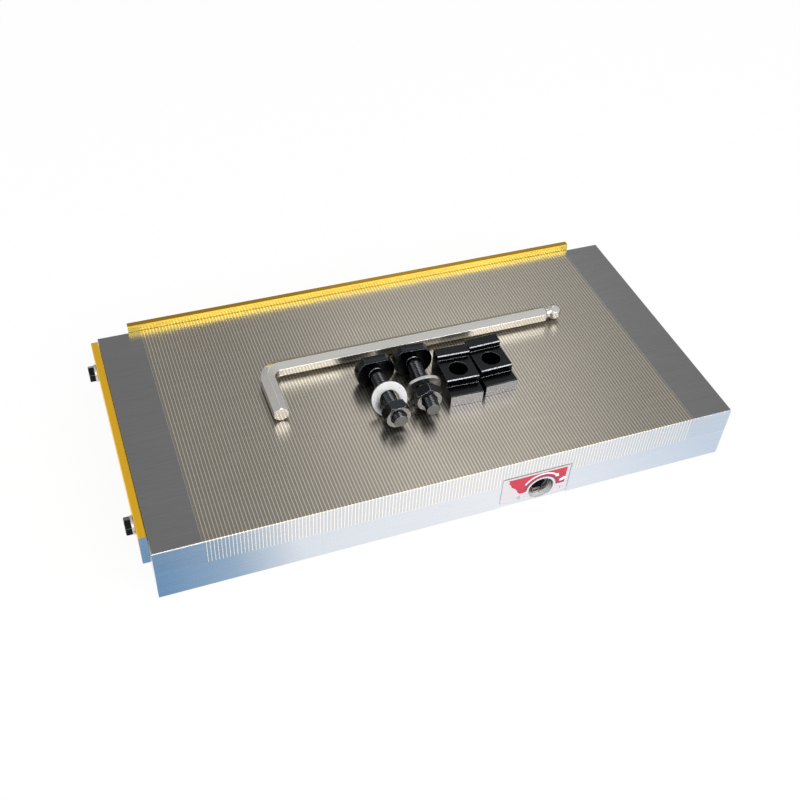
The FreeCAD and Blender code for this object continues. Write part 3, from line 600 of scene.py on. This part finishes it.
# %% The thread
bolt_radius = 5.0 * MM
bolt_length = 48.0 * MM
thread_length = 45.0 * MM
thread_pitch = 1.5 * MM
thread_depth = 0.85 * MM
tip_radius = 4.4 * MM
tip_chamfer = bolt_radius - tip_radius
sides_of_shank = 48
rings_per_turn = 8


def thread_radius(angle, along):
    """Distance from the axis at one place of the thread; along counts from the tip."""
    climb = (along / thread_pitch - angle / (2 * math.pi)) % 1
    groove = thread_depth * abs(2 * climb - 1) ** 1.2
    run_out = min(1.0, max(0.0, (thread_length - along) / thread_pitch))
    return min(bolt_radius - groove * run_out, tip_radius + along)


def thread_tube():
    rings = int(thread_length / thread_pitch) * rings_per_turn
    start()
    bpy.ops.mesh.primitive_grid_add(x_subdivisions=sides_of_shank, y_subdivisions=rings, size=1)
    tube = bpy.context.object
    for point in tube.data.vertices:
        angle = (point.co.x + 0.5) * 2 * math.pi
        along = (point.co.y + 0.5) * thread_length
        radius = thread_radius(angle, along)
        point.co = (radius * math.cos(angle), along - bolt_length, radius * math.sin(angle))
    bpy.ops.object.mode_set(mode="EDIT")
    bpy.ops.mesh.select_all(action="SELECT")
    bpy.ops.mesh.remove_doubles(threshold=1e-6)
    bpy.ops.mesh.fill_holes(sides=0)
    bpy.ops.mesh.normals_make_consistent(inside=False)
    bpy.ops.object.mode_set(mode="OBJECT")
    return tube


print("turns of thread:", round(thread_length / thread_pitch))

# %% The head and the plain shank
head_radius = 13.6 * MM
head_height = 7.0 * MM
head_half_flats = 11.0 * MM
head_bevel = 0.6 * MM
sides_of_head = 72


def round_bar(radius, near, far, sides):
    """A bar along Y."""
    start()
    bpy.ops.mesh.primitive_cylinder_add(
        vertices=sides, radius=radius, depth=far - near,
        location=(0, (near + far) / 2, 0), rotation=(math.pi / 2, 0, 0))
    bpy.ops.object.transform_apply(location=True, rotation=True, scale=True)
    return bpy.context.object


def bolt_head():
    head = round_bar(head_radius, 0, head_height, sides_of_head)
    bpy.ops.object.mode_set(mode="EDIT")
    for side in (-1, 1):
        bpy.ops.mesh.select_all(action="SELECT")
        bpy.ops.mesh.bisect(plane_co=(0, 0, side * head_half_flats), plane_no=(0, 0, side),
                            clear_outer=True, use_fill=True)
    bpy.ops.object.mode_set(mode="OBJECT")
    apply_modifier(head, "BEVEL", width=head_bevel, segments=3, limit_method="ANGLE",
                   angle_limit=math.radians(40))
    return head


print("head in mm:", round(2 * head_radius / MM, 1), "round,",
      round(2 * head_half_flats / MM, 1), "across its flats")

# %% Finishes of the thread and the tip
thread_black = black_oxide("black_oxide_thread", 0.2, edge_width=0.2, bare_edge_and_highlight="#b4b6ba")

faced_steel = new_finish("faced_steel_of_the_tips", "#888a8e", 1.0, 0.3)
marks = streaks(faced_steel, (0.6, 0.6, 0.6))
feed(faced_steel, shader_of(faced_steel), {
    "Base Color": add_node(faced_steel, "Mix", {
        0: marks, COLOUR_1: "#5c5e62", COLOUR_2: "#888a8e"}, **COLOURS),
    "Roughness": add_node(faced_steel, "MapRange", (marks, *NOISE_SPREAD, 0.25, 0.4))})

# The paler crests are partly wear from the nut and partly a painted highlight.
crest_wear_and_highlight = new_finish("thread_crests_worn_and_highlit", "#4c4e52", 1.0, 0.25)
crest_marks = streaks(crest_wear_and_highlight, (1.0, 1.0, 1.0))
feed(crest_wear_and_highlight, shader_of(crest_wear_and_highlight), {
    "Base Color": add_node(crest_wear_and_highlight, "Mix", {
        0: crest_marks, COLOUR_1: "#4c4e52", COLOUR_2: "#8a8c90"}, **COLOURS)})

bolt_finishes = (kit_black, faced_steel, thread_black, crest_wear_and_highlight)
TIP, FLANK, CREST = 1, 2, 3
print("slots of a bolt:", [finish.name for finish in bolt_finishes])

# %% Both bolts, each on its own CAD bolt
shank_into_head = 0.2 * MM
crest_depth = 0.13 * MM
thread_start = bolt_length - thread_length


def bolt_part(along, from_axis):
    """Which slot a face belongs to, by its distance below the head and from the axis."""
    if along > bolt_length - tip_chamfer:
        return TIP
    if along > thread_start + thread_pitch and from_axis > bolt_radius - crest_depth:
        return CREST
    return FLANK if along > thread_start else 0


def make_bolt(side):
    turn = next(j for j in frame["joints"] if j["name"] == side + "_clamp_nut_turn")
    axis = Vector(turn["axis"])
    shank = round_bar(bolt_radius, -thread_start, shank_into_head, sides_of_shank)
    bolt = joined([bolt_head(), shank, thread_tube()])
    start()
    bolt.select_set(True)
    bpy.ops.object.shade_smooth_by_angle(angle=math.radians(28))
    bolt.rotation_euler = (0, 0, math.atan2(axis.x, -axis.y))
    bolt.location = Vector(turn["pos_m"])
    settle(bolt, side + "_bolt_with_thread", side + "_clamp_bolt", kit_black)
    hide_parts(side + "_clamp_bolt")
    for finish in bolt_finishes[1:]:
        bolt.data.materials.append(finish)
    for face in bolt.data.polygons:
        from_head = face.center - Vector(turn["pos_m"])
        along = from_head.dot(axis)
        face.material_index = bolt_part(along, (from_head - axis * along).length)
    print(bolt.name, len(bolt.data.polygons), "faces")
    return axis


bolt_axes = {side: make_bolt(side) for side in ("left", "right")}

# %% [markdown]
# ## Nuts
#
# The nuts keep their CAD shape. Their two faces were turned bright after blackening,
# so the finish is paler where the surface looks out along the bolt.

# %% Nuts
for side, axis in bolt_axes.items():
    nut_finish = black_oxide(side + "_nut_black_oxide", 0.22, edge_width=0.4,
                             tones=oily_tones, turned=tuple(axis))
    dress(nut_finish, side + "_clamp_nut")

# %% [markdown]
# ## The printed sign
#
# The sign beside the key hole shows which way to turn: a red field with an arrow
# round the hole, on a pale aluminium sheet. It is printed ink, 0.03 mm thick, so each
# colour is a very flat piece. A filled circle has as many corners as the outline
# needs, and its corners are then pulled to the outline. Words of a maker are left
# out; two plain figures, 0 and 1, mark the off and on ends.
# The brown-grey line along the top edge of the sheet is no print: it is a painted shadow of the
# recess's upper edge, laid as a flat piece like the ink.

# %% Inks and sheet
def ink(name, colour, dark):
    material = new_finish(name, colour, 0.0, 0.42)
    feed(material, shader_of(material), {"Base Color": add_node(material, "Mix", {
        0: clouds(material, 3), COLOUR_1: dark, COLOUR_2: colour}, **COLOURS)})
    return material


sign_sheet = new_finish("printed_aluminium_sheet", "#d3d0d4", 0.1, 0.38)
rolled = streaks(sign_sheet, (8, 0.6, 0.6))
feed(sign_sheet, shader_of(sign_sheet), {"Base Color": add_node(sign_sheet, "Mix", {
    0: rolled, COLOUR_1: "#c6c3c7", COLOUR_2: "#d3d0d4"}, **COLOURS)})
dress(sign_sheet, "sign_plate")

ink_red = ink("red_ink", "#c21e3c", "#b21931")
ink_dark = ink("dark_red_ink", "#8d2c50", "#7c2444")
ink_white = ink("white_ink", "#fbf3f3", "#f2e8e8")
ink_grey = ink("grey_ink", "#8b8694", "#7d7886")
painted_shadow_ink = ink("brown_grey_painted_shadow", "#7d7370", "#6d6461")

# %% Shapes of the print
plate_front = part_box("sign_plate")[0].y
ink_thickness = 0.03 * MM


def around_hole(radius, start_angle, end_angle, steps):
    """Points on an arc round the hole, in millimetres and degrees."""
    points = []
    for step in range(steps + 1):
        angle = math.radians(start_angle + (end_angle - start_angle) * step / steps)
        points.append((hole_x + radius * math.cos(angle), hole_z + radius * math.sin(angle)))
    return points


def print_shape(name, outline, layer, material):
    """One colour of the print; layer counts outwards from the sheet."""
    start()
    bpy.ops.mesh.primitive_circle_add(vertices=len(outline), radius=1, fill_type="NGON")
    shape = bpy.context.object
    y = plate_front - layer * ink_thickness
    for point, (x, z) in zip(shape.data.vertices, outline):
        point.co = (x * MM, y, z * MM)
    bpy.ops.object.mode_set(mode="EDIT")
    bpy.ops.mesh.select_all(action="SELECT")
    bpy.ops.mesh.quads_convert_to_tris()
    bpy.ops.mesh.extrude_region_move(TRANSFORM_OT_translate={"value": (0, ink_thickness, 0)})
    bpy.ops.mesh.select_all(action="SELECT")
    bpy.ops.mesh.normals_make_consistent(inside=False)
    bpy.ops.object.mode_set(mode="OBJECT")
    settle(shape, name, "chuck", material)
    print(name, len(outline), "corners")


ring_radius = 10.9
field_left = [(47.4, 10.9), (45.2, 10.0), (42.4, 10.4), (40.6, 12.4), (39.9, 14.8),
              (38.0, 17.0), (35.6, 18.8), (34.9, 21.2), (33.3, 23.2), (33.6, 24.8),
              (32.6, 26.3)]
field_right = [(76.3, 26.4), (75.9, 11.2)]
red_field = field_left + field_right + around_hole(ring_radius, 2, 178, 36)
print_shape("sign_red_field", red_field, 1, ink_red)

dark_band = around_hole(13.2, 176, 12, 36) + [(75.4, 13.2), (75.4, 11.4)]
dark_band += around_hole(ring_radius + 0.02, 3, 176, 36)
print_shape("sign_dark_band", dark_band, 2, ink_dark)

arrow = around_hole(15.1, 150, 46, 30) + [(69.9, 22.4), (70.7, 19.2), (68.0, 19.2)]
arrow += around_hole(13.7, 46, 150, 30)
print_shape("sign_arrow", arrow, 3, ink_white)

dash = [(71.6, 13.7), (72.0, 15.6), (75.2, 17.2), (76.5, 16.4), (76.3, 14.8), (73.2, 13.3)]
print_shape("sign_dash", dash, 3, ink_white)

# A painted shadow: the shade under the recess's upper edge, as a flat brown-grey strip.
painted_shadow_line = [(29.0, 28.0), (78.0, 28.0), (77.8, 28.8), (29.2, 28.8)]
print_shape("sign_painted_shadow_line", painted_shadow_line, 2, painted_shadow_ink)

# %% Two plain figures
def print_figure(name, text, x, z, height):
    start()
    bpy.ops.object.text_add(location=(x * MM, plate_front - ink_thickness, z * MM),
                            rotation=(math.pi / 2, 0, 0))
    figure = bpy.context.object
    figure.data.body = text
    figure.data.size = height * MM
    figure.data.extrude = ink_thickness / 2
    bpy.ops.object.convert(target="MESH")
    settle(bpy.context.object, name, "chuck", ink_grey)
    print(name, "reads", text)


print_figure("sign_figure_off", "0", 41.5, 5.0, 4.0)
print_figure("sign_figure_on", "1", 72.4, 5.6, 4.0)

# %% [markdown]
# ## Floor and room
#
# The chuck stands on a plain white floor. The camera sees it nearly white with a
# faint shadow. Polished metal is only as bright as what it mirrors, so the floor that
# metal sees is given on its own: a glowing strip in front of the chuck, white, and
# blue towards both ends, which paints blue reflections onto the front faces. This is
# a painted reflection. The Light Path node tells the two apart.

# %% Floor
floor_size = 6
floor_drop = 0.2 * MM       # just under the feet, so that no two faces share a plane
seen_as_white = 0.92        # the rest of what the camera sees is lit paper, with the shadow
painted_reflection_strength = 1.2

start()
bpy.ops.mesh.primitive_plane_add(size=floor_size, location=(0, 0, -floor_drop))
floor = bpy.context.object
floor.name = "floor"
paper = new_finish("white_paper", "#f4f4f4", 0.0, 0.9)
lit_paper = shader_of(paper).outputs[0]
plain_white = add_node(paper, "Emission", {"Color": "#ffffff"})
seen = add_node(paper, "MixShader", (seen_as_white, lit_paper, plain_white))

# %% What metal sees of the floor: a painted reflection
# Colours along X, in millimetres, of the painted reflection that glows for metal only.
# They lie only on the strip that the front faces mirror.
painted_reflection_tints = ((-224, "#f4f6f8"), (-208, "#769bbe"), (-195, "#769bbe"), (-150, "#9fb8cf"),
               (-105, "#f2f5f9"), (30, "#ffffff"), (110, "#f2f5fa"), (200, "#d6e1ee"))
tint_reach = 250
strip_starts = (-210 * MM, -170 * MM)
strip_ends = (-100 * MM, -90 * MM)

place = add_node(paper, "TexCoord", output="Object")
across = add_node(paper, "MapRange", (
    add_node(paper, "SeparateXYZ", (place,), "X"), -tint_reach * MM, tint_reach * MM, 0.0, 1.0))
painted_reflection_ramp = add_node(paper, "ValToRGB", (across,))
stops = painted_reflection_ramp.node.color_ramp.elements
while len(stops) < len(painted_reflection_tints):
    stops.new(0.5)
for stop, (x, colour) in zip(stops, painted_reflection_tints):
    stop.position = (x + tint_reach) / (2 * tint_reach)
    stop.color = linear(colour)

y = add_node(paper, "SeparateXYZ", (place,), "Y")
on_painted_reflection_strip = add_node(paper, "Math", (
    add_node(paper, "MapRange", (y, *strip_starts, 0.0, 1.0)),
    add_node(paper, "MapRange", (y, *strip_ends, 1.0, 0.0))), operation="MULTIPLY")
painted_reflection_colour = add_node(paper, "Mix",
                        {0: on_painted_reflection_strip, COLOUR_1: "#f4f6f8", COLOUR_2: painted_reflection_ramp}, **COLOURS)
# The floor glows in these colours for metal only: a painted reflection.
painted_reflection_glow = add_node(paper, "Emission", (painted_reflection_colour, painted_reflection_strength))

by_metal = add_node(paper, "LightPath", output="Is Glossy Ray")
by_camera = add_node(paper, "LightPath", output="Is Camera Ray")
for_metal = add_node(paper, "MixShader", (by_metal, lit_paper, painted_reflection_glow))
for_camera = add_node(paper, "MixShader", (by_camera, for_metal, seen))
feed(paper, paper.node_tree.nodes["Material Output"], {"Surface": for_camera})
floor.data.materials.append(paper)
print("floor reaches", floor.dimensions.x / 2, "m each way")

# %% World
# The room is brighter behind the camera than behind the chuck, and plain white where
# the camera looks straight at it.
behind_camera, behind_chuck = 0.9, 0.52
NUMBER_1, NUMBER_2 = 2, 3   # the sockets of a Mix node for plain numbers

world = bpy.data.worlds.new("soft_room")
bpy.context.scene.world = world
world.use_nodes = True
direction = add_node(world, "TexCoord", output="Generated")
toward_back = add_node(world, "SeparateXYZ", (direction,), "Y")
room_light = add_node(world, "MapRange", (toward_back, -1.0, 1.0, behind_camera, behind_chuck))
seen_directly = add_node(world, "LightPath", output="Is Camera Ray")
feed(world, world.node_tree.nodes["Background"], {
    "Color": "#ffffff",
    "Strength": add_node(world, "Mix", {0: seen_directly, NUMBER_1: room_light, NUMBER_2: 1.0})})
print("room light:", behind_camera, "to", behind_chuck)

# %% [markdown]
# ## Lamps
#
# Flat metal needs large lamps, because what it shows is their reflection. The rear
# panel is what the work face mirrors towards the camera. The window above the camera
# lights the edges that look at the viewer; its low part is mirrored by the rail onto
# the work face, as a golden glow. The left panel keeps the stop bar alive.

# %% Lamps
chuck_middle = Vector((0, 0, 20 * MM))


def add_panel(name, place, size, watts):
    data = bpy.data.lights.new(name, "AREA")
    data.shape = "RECTANGLE"
    data.size, data.size_y = size
    data.energy = watts
    lamp = bpy.data.objects.new(name, data)
    bpy.context.scene.collection.objects.link(lamp)
    lamp.location = place
    lamp.rotation_mode = "QUATERNION"
    lamp.rotation_quaternion = (chuck_middle - Vector(place)).to_track_quat("-Z", "Y")
    print(name, watts, "W")


add_panel("rear_panel", (0.54, 0.92, 1.27), (0.6, 0.55), 1.3)
add_panel("window_above_the_camera", (0.5, -1.4, 1.4), (1.6, 1.0), 15)
add_panel("low_part_of_the_window", (0.45, -1.6, 0.95), (1.5, 0.5), 7)
add_panel("left_panel", (-1.4, -0.3, 0.9), (0.9, 0.9), 4)

bpy.context.scene.view_settings.view_transform = "Standard"
